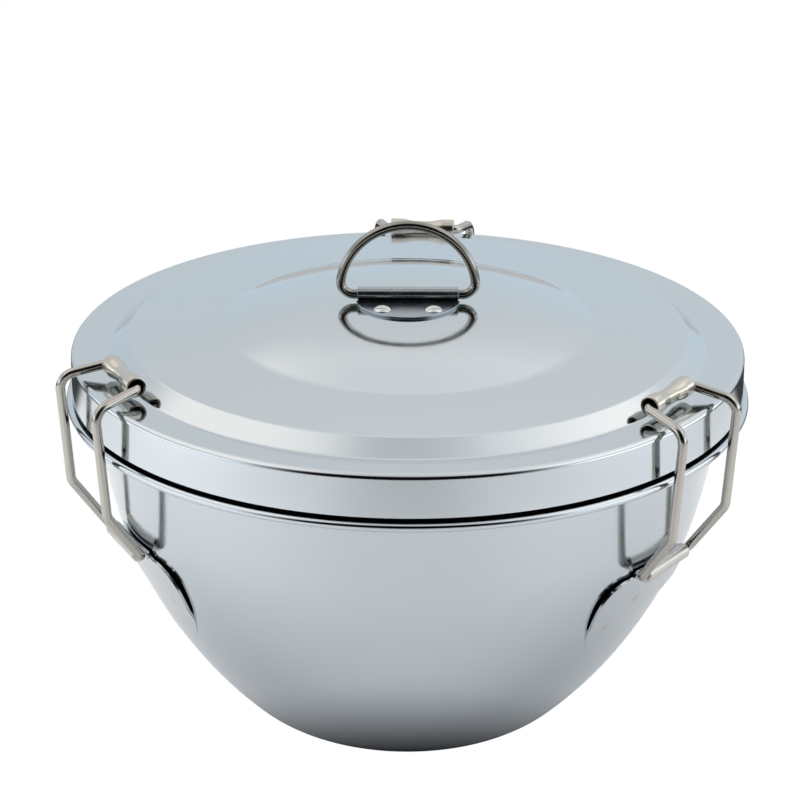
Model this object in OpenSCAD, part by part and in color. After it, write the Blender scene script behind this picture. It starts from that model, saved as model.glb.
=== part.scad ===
// Pudding steamer: a drawn steel bowl, a pressed lid, three wire clips that hold the lid down,
// and a ring handle that folds on the lid. Millimetres, +Z up, origin at the centre of the base.

/* [Lid] */
// Outer diameter of the lid's skirt
lid_d = 205; // [196:1:216]
// Height of the lid's rim above the table
rim_z = 121; // [117:0.5:130]
// Thickness of the lid's sheet
lid_t = 0.8; // [0.6:0.1:1]
// Depth of the skirt below the rim
skirt_h = 13.2; // [11:0.2:15]
// Radius of the corner between rim and skirt
rim_corner_r = 1.7; // [1.2:0.1:2.2]
// Width of the flat rim, from the skirt to the foot of the step
rim_w = 11.7; // [11:0.1:12.5]
// How far the rim dips towards the foot of the step
rim_dip = 0.1; // [0:0.1:0.6]
// Width of the sloping step
step_w = 5.8; // [5:0.1:7]
// Rise of the step above the rim
step_h = 4.4; // [3.5:0.1:5.5]
// Radius of the bends at the top and foot of the step
step_bend_r = 1.5; // [1.2:0.1:1.8]
// Rise of the shallow cone between the step and the dome
cone_h = 2.2; // [1.2:0.1:3]
// Radius at which the dome's foot meets the cone
dome_foot_r = 57; // [54:0.5:60]
// Radius at which the dome's side would meet its flat top without the bend between them
dome_top_r = 36.5; // [35:0.5:38]
// Height of the lid's flat top above the rim
dome_z = 13.4; // [11:0.1:16]
// Radius of the bend at the dome's foot
dome_foot_bend_r = 14; // [8:1:20]

/* [Bowl] */
// Thickness of the bowl's sheet
bowl_t = 0.8; // [0.6:0.1:1]
// How far the top of the wall lies inside the lid's skirt
wall_in = 5.5; // [4:0.5:7.5]
// Lean of the upper wall away from upright
wall_lean = 12.1; // [10:0.1:14]
// Radius of the belly's curve
belly_r = 141.7; // [130:0.1:148]
// Slope of the wall where the belly meets the base curve
belly_foot_slope = 44.3; // [41:0.1:48]
// Radius of the curve into the base
base_bend_r = 34.2; // [28:0.1:40]
// How far the bead stands out past the lid's skirt
bead_out = 1.7; // [1.2:0.1:2.2]
// Height of the half-round bead
bead_h = 2.6; // [2.2:0.1:3.4]
// Gap between the bead and the skirt's lower edge
skirt_gap = 1.2; // [0.5:0.1:1.6]
// Radius of the bend from the wall to the ledge under the bead
ledge_bend_r = 2; // [1:0.1:2.5]
// Clearance between the bowl's neck and the lid's skirt
neck_gap = 2; // [0.3:0.1:2.4]
// Clearance between the neck's upper edge and the lid
neck_top_gap = 0.35; // [0.3:0.05:0.6]

/* [Clips] */
// Bearing of the left clip round the bowl
left_clip_angle = 205; // [198:1:212]
// Bearing of the right clip round the bowl
right_clip_angle = 325; // [318:1:332]
// Bearing of the back clip round the bowl
back_clip_angle = 87; // [78:1:98]
// Diameter of the wire in the clips and in the ring handle
wire_d = 2.9; // [2.5:0.1:3.1]
// Length of the bar that joins a clip's legs on the hinge line
bar_w = 27; // [26:0.5:29]
// Distance between the two legs of a clip, at their upper and lower bends
leg_w = 30.5; // [29.5:0.1:33]
// Height of a clip's hinge line above the table
pivot_z = 72; // [70:0.5:74]
// Distance of the hinge line from the bowl's wall
pivot_off = 3.1; // [3:0.1:3.5]
// How far the upper bend of a leg lies outside the lid
leg_top_out = 4.7; // [3.8:0.1:5.5]
// Height of the upper bend of a leg above the rim
leg_top_up = 1.1; // [0.6:0.1:1.6]
// How far the lower bend of a leg lies outside the lid
leg_foot_out = 1.9; // [1.7:0.1:3]
// Depth of the lower bend of a leg below the rim
leg_foot_down = 33; // [31:0.5:35]
// Bend radius of the legs, at the middle of the wire
leg_bend_r = 5; // [4:0.5:6]
// Bend radius of the wire at the hinge line
hinge_bend_r = 2.5; // [2:0.1:2.5]
// Bend radius of the wire at the mouth of a sleeve
mouth_bend_r = 2.4; // [2:0.1:2.6]
// Length of a sleeve
sleeve_l = 20.5; // [19:0.5:22]
// Outer diameter of a sleeve at its ends
sleeve_d = 6.3; // [5.8:0.1:6.6]
// Outer diameter of a sleeve at its crimped waist
waist_d = 4.9; // [4.6:0.1:5.4]
// Length of the crimped waist
waist_l = 5; // [3:0.5:6]
// Wall of a sleeve at its ends
sleeve_t = 0.7; // [0.5:0.1:0.9]
// Distance of a sleeve's middle line from the lid's edge
sleeve_in = 10.1; // [9.8:0.1:10.6]
// Height of a sleeve's middle line above the rim
sleeve_up = 4.2; // [4:0.1:4.6]

/* [Clip brackets] */
// Thickness of the sheet in the brackets
plate_t = 0.8; // [0.6:0.1:1]
// Radius of a clip bracket's round plate
plate_r = 23.5; // [22:0.5:25]
// Height of the round plate's centre above the table
plate_z = 60; // [58.5:0.5:61.5]
// Distance from the plate's centre to its straight upper edge
plate_top = 11; // [10:0.5:12]
// Radius of the plate's upper corners
plate_corner_r = 9.5; // [7:0.5:10.5]
// How far the plate's sides stand off the wall, because the plate is pressed flatter
plate_side_gap = 0.9; // [0.3:0.1:1.1]
// Length of a clip bracket's rolled knuckle
knuckle_w = 21.6; // [20:0.2:21.8]
// Length of the flat strip below the knuckle
strip_l = 6; // [5:0.2:7]

/* [Handle] */
// Radius of the ring's arch, at the middle of the wire
ring_r = 20.6; // [19.8:0.1:22.2]
// Height of the arch's centre above the hinge line
ring_up = 1.5; // [0.5:0.1:3]
// Bend radius of the ring's lower corners
ring_corner_r = 4; // [3:0.1:4]
// Radius of the half-moon bracket
bracket_r = 15.8; // [15.6:0.1:17]
// Length of the half-moon bracket's rolled knuckle
handle_knuckle_w = 30.6; // [28:0.2:30.8]
// Distance of a rivet from the lid's middle, along the hinge line
rivet_x = 7.75; // [6:0.25:8]
// Distance of the rivets from the hinge line
rivet_y = 9; // [8:0.25:9.5]
// Diameter of a rivet's head
rivet_head_d = 6; // [5:0.2:6.4]
// Height of a rivet's head
rivet_head_h = 1.2; // [0.8:0.1:1.6]
// Diameter of a rivet's shank
rivet_shank_d = 3; // [2:0.1:3.4]

/* [Fits] */
// Radial clearance of a wire in its knuckle, and of a rivet in its hole
fit_gap = 0.06; // [0.03:0.01:0.1]
// Weld gap between a clip bracket and the bowl
weld_gap = 0.05; // [0.03:0.01:0.1]

/* [Hidden] */
$fn = 96;
wire_fn = 32;
// Largest distance between a curve and the chords that draw it
chord_gap = 0.02;
// Room by which a cutting shape passes the solid that it cuts
cut = 1;
// Swelling of the wire in its bends, and the length that a straight run reaches into a bend
bend_swell = 0.02;
bend_lap = 0.15;

lid_r = lid_d / 2;
lid_top_z = rim_z + dome_z;
step_foot_r = lid_r - rim_w;
step_top_r = step_foot_r - step_w;
skirt_bottom_z = rim_z - skirt_h;
step_top_z = rim_z + step_h - rim_dip;
dome_foot_z = step_top_z + cone_h;
// The dome's convex bend takes up its whole side, down to the bend at its foot
dome_side = [dome_foot_r - dome_top_r, lid_top_z - dome_foot_z];
dome_slope = atan2(dome_side[1], dome_side[0]);
cone_slope = atan2(cone_h, step_top_r - dome_foot_r);
dome_foot_run = dome_foot_bend_r * tan((dome_slope - cone_slope) / 2);
dome_straight = 0.2;
dome_top_bend_r = (norm(dome_side) - dome_foot_run - dome_straight) / tan(dome_slope / 2);

bead_top_z = skirt_bottom_z - skirt_gap;
ledge_z = bead_top_z - bead_h;
bead_r = lid_r + bead_out;
wall_top_r = lid_r - wall_in;
neck_r = lid_r - lid_t - neck_gap;
neck_top_z = rim_z - lid_t - neck_top_gap - rim_dip * (lid_r - neck_r) / rim_w;
neck_bend_r = 0.4;

// Slope of the upper wall, and the straight run that is left above the belly
wall_slope = 90 - wall_lean;
base_rise = base_bend_r * (1 - cos(belly_foot_slope));
belly_rise = belly_r * (cos(belly_foot_slope) - cos(wall_slope));
belly_top_z = base_rise + belly_rise;
belly_top_r = wall_top_r - (ledge_z - belly_top_z) / tan(wall_slope);
belly_centre_r = belly_top_r - belly_r * sin(wall_slope);
belly_centre_z = belly_top_z + belly_r * cos(wall_slope);
base_r = belly_centre_r + (belly_r - base_bend_r) * sin(belly_foot_slope);

wire_r = wire_d / 2;
bore_r = wire_r + fit_gap;
knuckle_r = bore_r + plate_t;
// Opening left between the end of the roll and the flat strip
roll_end = 0.3;

// Slope and radius of the bowl's outer wall on the belly, at a given height
function belly_slope(z) = acos((belly_centre_z - z) / belly_r);
function belly_wall_r(z) = belly_centre_r + belly_r * sin(belly_slope(z));

pivot_slope = belly_slope(pivot_z);
pivot_r = belly_wall_r(pivot_z) + pivot_off / sin(pivot_slope);
plate_slope = belly_slope(plate_z);
plate_centre_r = belly_wall_r(plate_z);
// Sideways curve of the plate, from that of the wall, as a radius round an upright axis
plate_curve = sin(plate_slope) / plate_centre_r - 2 * plate_side_gap / pow(plate_r, 2);
plate_turn_r = sin(plate_slope) / plate_curve;
sleeve_x = lid_r - sleeve_in;
sleeve_z = rim_z + sleeve_up;
// Distance from a sleeve's mouth to the corner of the wire that enters it
mouth_run = 1.3;
// Half of the gap between the two wire ends inside a sleeve
wire_end_gap = 0.6;
// Tilt of a bracket's strip away from the wall, so that it leaves the plate and meets the roll
strip_rise = pivot_off - bore_r - plate_t / 2 - (weld_gap + plate_t / 2);
strip_tilt = asin(strip_rise / strip_l);
// Angle that the bracket's curved plate is turned through before it is trimmed
plate_sweep = 60;

handle_z = lid_top_z + knuckle_r;
handle_strip_l = 1.5;
rivet_tail_d = rivet_shank_d + 1.6;
rivet_tail_h = 0.8;

// Chords that draw a bend of radius r through a turn
function bend_steps(r, turn) = max(2, ceil(turn / (2 * acos(1 - chord_gap / max(r, 4 * chord_gap)))));
function unit(v) = v / norm(v);
function heading(v) = atan2(v[1], v[0]);
function wrap_turn(a) = a > 180 ? a - 360 : a < -180 ? a + 360 : a;

// Points and headings along a bend at corner b, with its radius in b[2]
function bend(a, b, c) =
    let (h0 = heading([b[0] - a[0], b[1] - a[1]]), h1 = heading([c[0] - b[0], c[1] - b[1]]))
    let (turn = wrap_turn(h1 - h0), side = turn < 0 ? -1 : 1, r = b[2])
    let (run = r * tan(abs(turn) / 2), n = bend_steps(r, abs(turn)))
    let (x = b[0] - run * cos(h0) - side * r * sin(h0), y = b[1] - run * sin(h0) + side * r * cos(h0))
    [for (i = [0:n]) let (h = h0 + turn * i / n) [x + side * r * sin(h), y - side * r * cos(h), h]];

// Face of a bent sheet: corners [x, y, bend radius] become points with headings
function face(v) =
    let (last = len(v) - 1)
    let (first_h = heading([v[1][0] - v[0][0], v[1][1] - v[0][1]]))
    let (last_h = heading([v[last][0] - v[last - 1][0], v[last][1] - v[last - 1][1]]))
    concat([[v[0][0], v[0][1], first_h]],
        [for (i = [1:last - 1]) each bend(v[i - 1], v[i], v[i + 1])],
        [[v[last][0], v[last][1], last_h]]);

// Section of a sheet of thickness t that lies to the left (t > 0) or right (t < 0) of its face
module sheet(corners, t) {
    f = face(corners);
    polygon(concat([for (p = f) [p[0], p[1]]],
        [for (i = [len(f) - 1:-1:0]) [f[i][0] - t * sin(f[i][2]), f[i][1] + t * cos(f[i][2])]]));
}

// Straight wire from a to b
module rod(a, b) {
    u = unit(b - a);
    translate(a) rotate([0, acos(u[2]), atan2(u[1], u[0])])
        cylinder(r = wire_r, h = norm(b - a), $fn = wire_fn);
}

// Bend of radius r in a wire that comes to corner p along u and leaves along w
module elbow(p, u, w, r) {
    turn = acos(u * w);
    n = unit(w - u * (u * w));
    k = cross(u, n);
    c = p - u * r * tan(turn / 2) + n * r;
    multmatrix([[-n[0], u[0], k[0], c[0]], [-n[1], u[1], k[1], c[1]], [-n[2], u[2], k[2], c[2]], [0, 0, 0, 1]])
        rotate_extrude(angle = turn) translate([r, 0]) circle(r = wire_r + bend_swell, $fn = wire_fn);
}

// Bent wire through points p, with a bend radius r[i] at each point between the ends
module wire(p, r) {
    last = len(p) - 1;
    u = [for (i = [0:last - 1]) unit(p[i + 1] - p[i])];
    run = [for (i = [0:last]) i == 0 || i == last ? 0 : r[i] * tan(acos(u[i - 1] * u[i]) / 2) - bend_lap];
    for (i = [0:last - 1]) rod(p[i] + u[i] * run[i], p[i + 1] - u[i] * run[i + 1]);
    for (i = [1:last - 1]) elbow(p[i], u[i - 1], u[i], r[i]);
}

// Edge of a sheet rolled round a wire at the origin, with a flat strip that runs to -X below it
module rolled_edge(strip) {
    difference() {
        union() {
            circle(r = knuckle_r);
            translate([-strip, -knuckle_r]) square([strip, plate_t]);
        }
        circle(r = bore_r);
        translate([-knuckle_r - cut, -bore_r]) square([knuckle_r + cut, bore_r - roll_end]);
    }
}

// Bowl: flat base, round belly, leaning wall, ledge, half-round bead and the neck inside the lid
module bowl() {
    base_run = base_bend_r * tan(belly_foot_slope / 2);
    belly_run = belly_r * tan((wall_slope - belly_foot_slope) / 2);
    base_corner_r = base_r + base_run;
    slant = base_run + belly_run;
    color("#b9c0c6") rotate_extrude($fn = 180) sheet([
        [0, 0, 0],
        [base_corner_r, 0, base_bend_r],
        [base_corner_r + slant * cos(belly_foot_slope), slant * sin(belly_foot_slope), belly_r],
        [wall_top_r, ledge_z, ledge_bend_r],
        [bead_r, ledge_z, bead_h / 2],
        [bead_r, bead_top_z, bead_h / 2],
        [neck_r, bead_top_z, neck_bend_r],
        [neck_r, neck_top_z, 0]], bowl_t);
}

// Lid: flat top, soft dome, shallow cone, step, rim and skirt, with the rivet holes
module lid() {
    color("#c9d1d8") difference() {
        rotate_extrude($fn = 180) sheet([
            [0, lid_top_z, 0],
            [dome_top_r, lid_top_z, dome_top_bend_r],
            [dome_foot_r, dome_foot_z, dome_foot_bend_r],
            [step_top_r, step_top_z, step_bend_r],
            [step_foot_r, rim_z - rim_dip, step_bend_r],
            [lid_r, rim_z, rim_corner_r],
            [lid_r, skirt_bottom_z, 0]], -lid_t);
        at_rivets() translate([0, 0, -lid_t - cut])
            cylinder(d = rivet_shank_d + 2 * fit_gap, h = lid_t + 2 * cut);
    }
}

// Both rivet places, on the lid's flat top
module at_rivets() {
    for (side = [-1, 1]) translate([side * rivet_x, -rivet_y, lid_top_z]) children();
}

// Half-moon bracket on the lid, with its straight edge rolled round the ring
module handle_bracket() {
    color("#c4ccd3") union() {
        difference() {
            translate([0, 0, lid_top_z]) linear_extrude(plate_t) intersection() {
                circle(r = bracket_r);
                translate([-bracket_r, -bracket_r]) square([2 * bracket_r, bracket_r - handle_strip_l]);
            }
            at_rivets() translate([0, 0, -cut])
                cylinder(d = rivet_shank_d + 2 * fit_gap, h = plate_t + 2 * cut);
        }
        translate([-handle_knuckle_w / 2, 0, handle_z]) rotate([90, 0, 90])
            linear_extrude(handle_knuckle_w) rolled_edge(handle_strip_l);
    }
}

// Round head of a rivet, of diameter d and height h
module rivet_dome(d, h) {
    dome_r = (d * d / 4 + h * h) / (2 * h);
    rotate_extrude() intersection() {
        translate([0, h - dome_r]) circle(r = dome_r);
        square([d, h]);
    }
}

// Two rivets: domed head on the bracket, shank through the sheets, button under the lid
module handle_rivets() {
    color("#d8d6d0") at_rivets() {
        translate([0, 0, plate_t]) rivet_dome(rivet_head_d, rivet_head_h);
        translate([0, 0, -lid_t]) cylinder(d = rivet_shank_d, h = lid_t + plate_t);
        translate([0, 0, -lid_t]) mirror([0, 0, 1]) rivet_dome(rivet_tail_d, rivet_tail_h);
    }
}

// Ring handle: a straight bar in the knuckle, two round corners and an arch over them
module handle_ring() {
    corner_x = sqrt(pow(ring_r - ring_corner_r, 2) - pow(ring_corner_r - ring_up, 2));
    corner_turn = 90 + atan2(ring_corner_r - ring_up, corner_x);
    bar_x = corner_x + bend_lap;
    // The arch reaches into the corners, as the bar does
    arch_a = corner_turn - 90 - bend_lap / ring_r * 180 / PI;
    color("#a7a59e") translate([0, 0, handle_z]) {
        rod([-bar_x, 0, 0], [bar_x, 0, 0]);
        for (side = [0, 1]) mirror([side, 0, 0]) translate([corner_x, 0, ring_corner_r]) rotate([90, 0, 0])
            rotate([0, 0, -90]) rotate_extrude(angle = corner_turn)
            translate([ring_corner_r, 0]) circle(r = wire_r + bend_swell, $fn = wire_fn);
        translate([0, 0, ring_up]) rotate([90, 0, 0]) rotate([0, 0, arch_a])
            rotate_extrude(angle = 180 - 2 * arch_a) translate([ring_r, 0]) circle(r = wire_r, $fn = wire_fn);
    }
}

// A clip's pieces are drawn on the +X side of the bowl and turned to their bearing
module at_clip(angle) {
    rotate([0, 0, angle]) children();
}

// Outline of a clip bracket's plate: a disc cut by a straight edge towards -X, with round corners,
// and with hollow corners where the strip leaves that edge
module plate_outline() {
    corner_x = plate_corner_r - plate_top;
    corner_y = sqrt(pow(plate_r - plate_corner_r, 2) - corner_x * corner_x);
    corner_a = atan2(corner_y, corner_x);
    corner_n = bend_steps(plate_corner_r, 180 - corner_a);
    disc_n = bend_steps(plate_r, 2 * corner_a);
    strip_y = knuckle_w / 2;
    hollow_r = min(2.2, corner_y - strip_y);
    hollow_n = bend_steps(hollow_r, 90);
    hollow = [for (i = [0:hollow_n]) let (a = 90 * i / hollow_n)
        [-plate_top - hollow_r * (1 - sin(a)), strip_y + hollow_r * (1 - cos(a))]];
    corner = [for (i = [0:corner_n]) let (a = 180 - (180 - corner_a) * i / corner_n)
        [corner_x + plate_corner_r * cos(a), corner_y + plate_corner_r * sin(a)]];
    upper = concat(hollow, corner);
    disc = [for (i = [1:disc_n - 1]) let (a = corner_a * (1 - 2 * i / disc_n)) plate_r * [cos(a), sin(a)]];
    lower = [for (i = [len(upper) - 1:-1:0]) [upper[i][0], -upper[i][1]]];
    polygon(concat(upper, disc, lower));
}

// Clip bracket: a round plate, pressed a little flatter than the wall, and a strip rolled into a knuckle
module clip_bracket() {
    half_slope = plate_r / belly_r * 180 / PI;
    inner_r = belly_r + weld_gap;
    outer_r = inner_r + plate_t;
    slopes = [for (i = [-6:6]) plate_slope + half_slope * i / 5];
    turn_x = plate_centre_r - plate_turn_r;
    strip_angle = pivot_slope - strip_tilt;
    union() {
        intersection() {
            translate([turn_x, 0]) rotate([0, 0, -plate_sweep / 2]) rotate_extrude(angle = plate_sweep)
                translate([belly_centre_r - turn_x, belly_centre_z]) polygon(concat(
                    [for (s = slopes) outer_r * [sin(s), -cos(s)]],
                    [for (i = [len(slopes) - 1:-1:0]) inner_r * [sin(slopes[i]), -cos(slopes[i])]]));
            translate([plate_centre_r, 0, plate_z]) rotate([0, 180 - plate_slope, 0])
                linear_extrude(plate_r, center = true) plate_outline();
        }
        translate([pivot_r, knuckle_w / 2, pivot_z]) rotate([90, 0, 0]) linear_extrude(knuckle_w)
            rotate(strip_angle) mirror([0, 1]) rolled_edge(strip_l);
    }
}

// Clip wire: one bent wire from a sleeve's mouth, down a leg, through the knuckle and up again
module clip_wire() {
    half = [for (side = [-1, 1]) [
        [sleeve_x, side * wire_end_gap, sleeve_z],
        [sleeve_x, side * (sleeve_l / 2 + mouth_run), sleeve_z],
        [lid_r + leg_top_out, side * leg_w / 2, rim_z + leg_top_up],
        [lid_r + leg_foot_out, side * leg_w / 2, rim_z - leg_foot_down],
        [pivot_r, side * bar_w / 2, pivot_z]]];
    bends = [0, mouth_bend_r, leg_bend_r, leg_bend_r, hinge_bend_r];
    back_half = [for (i = [4:-1:0]) half[1][i]];
    back_bends = [for (i = [4:-1:0]) bends[i]];
    wire(concat(half[0], back_half), concat(bends, back_bends));
}

// Crimped sleeve: a short tube, flared at both mouths and pinched on to the two wire ends
module clip_sleeve() {
    waist_y = waist_l / 2;
    mouth_y = sleeve_l / 2;
    flare_y = (waist_y + mouth_y) / 2;
    end_r = sleeve_d / 2;
    waist_r = waist_d / 2;
    sleeve_bend_r = 6;
    // Radius of the crimped bore, which closes on the wire
    crimp_r = wire_r + fit_gap;
    outside = face([[end_r, -mouth_y, 0], [end_r, -flare_y, sleeve_bend_r], [waist_r, -waist_y, sleeve_bend_r],
        [waist_r, waist_y, sleeve_bend_r], [end_r, flare_y, sleeve_bend_r], [end_r, mouth_y, 0]]);
    inside = face([[end_r - sleeve_t, mouth_y, 0], [end_r - sleeve_t, flare_y, sleeve_bend_r],
        [crimp_r, waist_y, sleeve_bend_r], [crimp_r, -waist_y, sleeve_bend_r],
        [end_r - sleeve_t, -flare_y, sleeve_bend_r], [end_r - sleeve_t, -mouth_y, 0]]);
    translate([sleeve_x, 0, sleeve_z]) rotate([90, 0, 0]) rotate_extrude($fn = 48)
        polygon([for (p = concat(outside, inside)) [p[0], p[1]]]);
}

module clip_bracket_left() color("#c4ccd3") at_clip(left_clip_angle) clip_bracket();
module clip_bracket_right() color("#c4ccd3") at_clip(right_clip_angle) clip_bracket();
module clip_bracket_back() color("#c4ccd3") at_clip(back_clip_angle) clip_bracket();
module clip_wire_left() color("#aeaba2") at_clip(left_clip_angle) clip_wire();
module clip_wire_right() color("#aeaba2") at_clip(right_clip_angle) clip_wire();
module clip_wire_back() color("#aeaba2") at_clip(back_clip_angle) clip_wire();
module clip_sleeve_left() color("#b7b3a8") at_clip(left_clip_angle) clip_sleeve();
module clip_sleeve_right() color("#b7b3a8") at_clip(right_clip_angle) clip_sleeve();
module clip_sleeve_back() color("#b7b3a8") at_clip(back_clip_angle) clip_sleeve();

bowl();
clip_bracket_left();
clip_bracket_right();
clip_bracket_back();
clip_wire_left();
clip_wire_right();
clip_wire_back();
clip_sleeve_left();
clip_sleeve_right();
clip_sleeve_back();
lid();
handle_bracket();
handle_rivets();
handle_ring();
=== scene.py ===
# %% [markdown]
# # A pudding steamer in polished steel
# The real object is a drawn steel bowl with a pressed lid. Three wire clips hold the lid down, and a
# wire ring folds on its top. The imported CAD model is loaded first, because it fixes every size and
# every hinge. The steel is close to a mirror, so a facet would show at once: the visible pieces are
# made again here, with smooth bends, at the same sizes as the solids that they stand for.

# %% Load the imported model
import math

import bmesh
import bpy
from mathutils import Matrix, Vector


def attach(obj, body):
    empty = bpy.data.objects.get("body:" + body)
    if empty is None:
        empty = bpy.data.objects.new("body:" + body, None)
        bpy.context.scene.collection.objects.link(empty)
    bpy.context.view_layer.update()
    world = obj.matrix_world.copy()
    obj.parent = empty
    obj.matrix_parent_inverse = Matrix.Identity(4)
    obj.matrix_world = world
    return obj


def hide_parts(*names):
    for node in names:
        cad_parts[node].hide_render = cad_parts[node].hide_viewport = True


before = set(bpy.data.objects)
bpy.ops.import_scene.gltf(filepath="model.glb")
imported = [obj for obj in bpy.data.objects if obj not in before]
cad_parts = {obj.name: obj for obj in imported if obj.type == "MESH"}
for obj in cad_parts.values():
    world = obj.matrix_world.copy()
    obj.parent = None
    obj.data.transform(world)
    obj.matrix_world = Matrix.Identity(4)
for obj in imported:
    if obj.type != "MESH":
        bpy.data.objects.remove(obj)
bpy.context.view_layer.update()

scene = bpy.context.scene

# %% [markdown]
# ## Helpers for steel sheet
# Pressed sheet is straight runs joined by round bends. A pen draws such a section: it is one vertex
# that is extruded along a run and spun through a bend, so that every bend is a true arc. Bevelled
# corners would be quicker, but their curve isn't round on a shallow bend, and a mirror shows that.
# Sizes are in millimetres, as in the CAD source. Blender works in metres, so a piece is modelled in
# millimetres and made smaller once, when it is finished.

# %% The pen
# The largest distance between a bend and the chords that draw it.
CHORD_GAP = 0.003
FINEST_BEND_R = 0.1
SHORTEST_RUN = 1e-5
SMALLEST_TURN = 1e-6


def arc_steps(radius, turn):
    """Steps that keep a bend's chords within CHORD_GAP of its arc."""
    chord_turn = 2 * math.acos(1 - CHORD_GAP / max(radius, FINEST_BEND_R))
    return max(2, math.ceil(abs(turn) / chord_turn))


def draw_section(bm, corners):
    """Draws a bent line through corners (x, z, bend radius) in the XZ plane."""
    points = [Vector((x, 0, z)) for x, z, _ in corners]
    pen = bm.verts.new(points[0])
    for i in range(1, len(points)):
        run_in = (points[i] - points[i - 1]).normalized()
        radius = corners[i][2]
        turn = 0.0
        if i + 1 < len(points):
            run_out = (points[i + 1] - points[i]).normalized()
            turn = math.atan2(run_in.x * run_out.z - run_in.z * run_out.x, run_in.dot(run_out))
        stop = points[i] - run_in * radius * math.tan(abs(turn) / 2)
        if (stop - pen.co).length > SHORTEST_RUN:
            pen = bmesh.ops.extrude_vert_indiv(bm, verts=[pen])["verts"][0]
            pen.co = stop
        if radius and abs(turn) > SMALLEST_TURN:
            centre = stop + Vector((-run_in.z, 0, run_in.x)) * math.copysign(radius, turn)
            bent = bmesh.ops.spin(bm, geom=[pen], cent=centre, axis=(0, -1, 0), angle=turn,
                                  steps=arc_steps(radius, turn))
            pen = next(g for g in bent["geom_last"] if isinstance(g, bmesh.types.BMVert))


print("a quarter bend of 2 mm takes", arc_steps(2.0, math.pi / 2), "chords")

# %% Finish a piece
MM = 0.001
SHEET_T = 0.8
INWARDS, BOTH_WAYS = -1, 0
EDGE_STEPS = 3
EDGE_ANGLE = math.radians(50)


def finish_piece(bm, name, body, steel, nodes):
    """Makes a piece of a bmesh in millimetres; it rides on a body and stands for its CAD nodes."""
    bmesh.ops.scale(bm, vec=(MM, MM, MM), verts=bm.verts[:])
    mesh = bpy.data.meshes.new(name)
    bm.to_mesh(mesh)
    bm.free()
    mesh.shade_smooth()
    mesh.materials.append(steel)
    piece = bpy.data.objects.new(name, mesh)
    scene.collection.objects.link(piece)
    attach(piece, body)
    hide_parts(*nodes)
    print(name, len(mesh.polygons), "faces on", body)
    return piece


def thicken(piece, offset, edge_r):
    """Gives a sheet its thickness, and rounds the edges that the shears left."""
    sheet = piece.modifiers.new("Sheet", "SOLIDIFY")
    sheet.thickness = SHEET_T * MM
    sheet.offset = offset
    sheet.use_even_offset = True
    edge = piece.modifiers.new("Edge", "BEVEL")
    edge.width = edge_r * MM
    edge.segments = EDGE_STEPS
    edge.limit_method = "ANGLE"
    edge.angle_limit = EDGE_ANGLE
    edge.harden_normals = True


print("sheet of", SHEET_T, "mm")

# %% [markdown]
# ## Steel finishes
# Everything here is stainless steel, and only the way its surface was made differs. One shiny material
# could serve for all of it, but buffing, spinning, stamping and drawing each leave another haze and
# other lines, and that is how the eye tells the pieces apart. So one function makes a steel from its
# haze and its lines. A metal keeps the default IOR, and its colour is what it reflects face on.

# %% Colour and node helpers
def srgb(code):
    """Linear RGBA of an sRGB hex colour."""
    values = [int(code[i:i + 2], 16) / 255 for i in (1, 3, 5)]
    return [v / 12.92 if v <= 0.04045 else ((v + 0.055) / 1.055) ** 2.4 for v in values] + [1.0]


def add_node(tree, kind, inputs=None, **settings):
    """Adds one node; each input is a plain value or another node's output."""
    node = tree.nodes.new(kind)
    for name, value in settings.items():
        setattr(node, name, value)
    for name, value in (inputs or {}).items():
        if isinstance(value, bpy.types.NodeSocket):
            tree.links.new(value, node.inputs[name])
        else:
            node.inputs[name].default_value = value
    return node


print("a mid grey is", round(srgb("#808080")[0], 3), "in linear light")

# %% Buffed, spun, stamped and drawn steel
# Lines lie level: the pattern keeps its size along Z and is drawn out across it.
LINE_STRETCH = (0.02, 0.02, 1.0)


def steel_finish(name, colour, haze, spread, patch_mm, line_mm, depth_mm):
    """Stainless steel whose roughness drifts in soft patches, with fine lines round the Z axis."""
    steel = bpy.data.materials.new(name)
    steel.use_nodes = True
    tree = steel.node_tree
    tree.nodes.clear()
    place = add_node(tree, "ShaderNodeTexCoord").outputs["Object"]
    patches = add_node(tree, "ShaderNodeTexNoise", {"Vector": place, "Scale": 1 / (patch_mm * MM),
                                                    "Detail": 3.0, "Roughness": 0.6})
    rough = add_node(tree, "ShaderNodeMapRange", {"Value": patches.outputs["Fac"],
                                                  "From Min": 0.3, "From Max": 0.7,
                                                  "To Min": haze - spread, "To Max": haze + spread})
    stretch = add_node(tree, "ShaderNodeMapping", {"Vector": place, "Scale": LINE_STRETCH})
    # Real lines are finer than a pixel of the render, so these lie some tenths of a millimetre apart.
    lines = add_node(tree, "ShaderNodeTexNoise", {"Vector": stretch.outputs["Vector"],
                                                  "Scale": 1 / (line_mm * MM),
                                                  "Detail": 2.0, "Roughness": 0.5})
    bump = add_node(tree, "ShaderNodeBump", {"Height": lines.outputs["Fac"], "Distance": depth_mm * MM,
                                             "Strength": 1.0})
    shader = add_node(tree, "ShaderNodeBsdfPrincipled", {"Base Color": srgb(colour), "Metallic": 1.0,
                                                         "Roughness": rough.outputs["Result"],
                                                         "Normal": bump.outputs["Normal"]})
    add_node(tree, "ShaderNodeOutputMaterial", {"Surface": shader.outputs["BSDF"]})
    print("finish", name)
    return steel


# Buffed: a cool mirror with a faint haze, which shows the tent in soft borders.
lid_steel = steel_finish("Stainless steel, buffed", "#c9d0d5", haze=0.10, spread=0.03,
                         patch_mm=18, line_mm=0.6, depth_mm=0.0004)
# Spun and polished along its rings: reflections are a little drawn out up and down.
bowl_steel = steel_finish("Stainless steel, spun and polished", "#c7ced4", haze=0.13, spread=0.03,
                          patch_mm=25, line_mm=0.5, depth_mm=0.001)
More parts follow.
